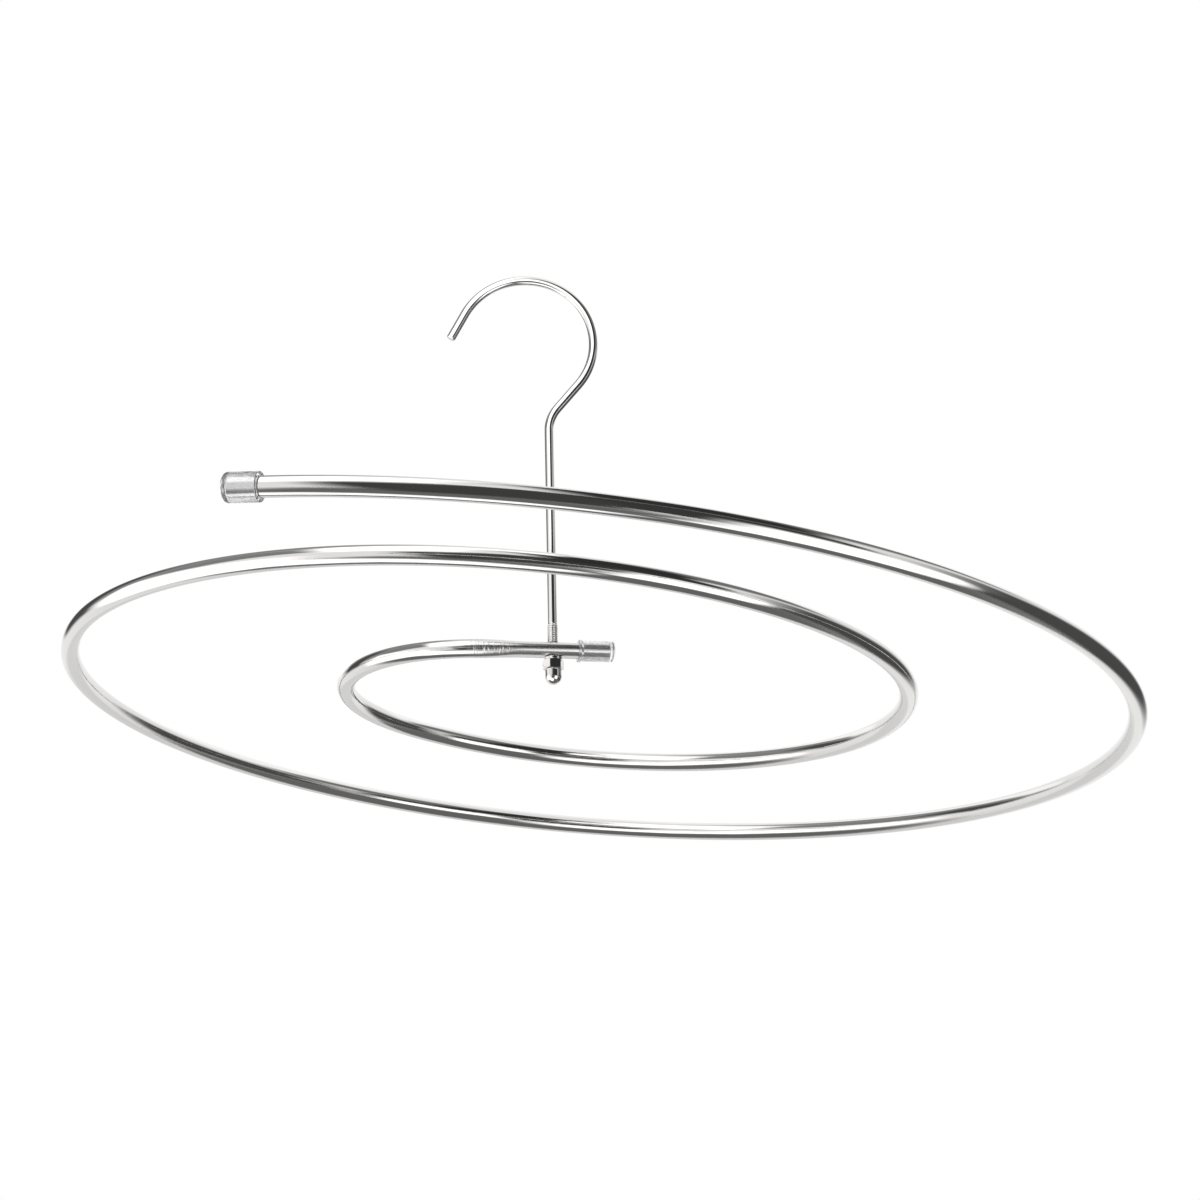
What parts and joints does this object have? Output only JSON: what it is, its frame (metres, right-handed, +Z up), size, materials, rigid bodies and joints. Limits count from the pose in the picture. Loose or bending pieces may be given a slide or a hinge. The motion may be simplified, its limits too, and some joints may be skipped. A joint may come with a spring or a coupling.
{
  "type": "spiral drying rack",
  "caption": "Flat spiral of thin steel tube hung by its pressed inner end on a wire hook's threaded shank. A cap nut carries it, so the spiral swivels freely.",
  "frame": {"origin": "the point inside the top of the hook that rests on a rail", "axes": "+Z up along the hook's shank, +X in the plane of the hook, away from its open side, +Y away from the outer end of the tube"},
  "size_m": [0.567, 0.6292, 0.271],
  "materials": {
    "tube_steel": "polished stainless steel tube",
    "wire_steel": "bright drawn stainless steel wire",
    "nut_steel": "polished nickel-plated steel",
    "clear_vinyl": "clear soft vinyl"
  },
  "bodies": {
    "hanger": {"hook": "wire_steel", "cap_nut": "nut_steel"},
    "coil": {"spiral_tube": "tube_steel", "inner_end_cap": "clear_vinyl", "outer_end_cap": "clear_vinyl"}
  },
  "joints": [
    {"name": "coil_swivel", "type": "hinge", "parent": "hanger", "child": "coil", "pos_m": [0.0122, 0, -0.2069], "axis": [0, 0, 1], "continuous": true}
  ]
}
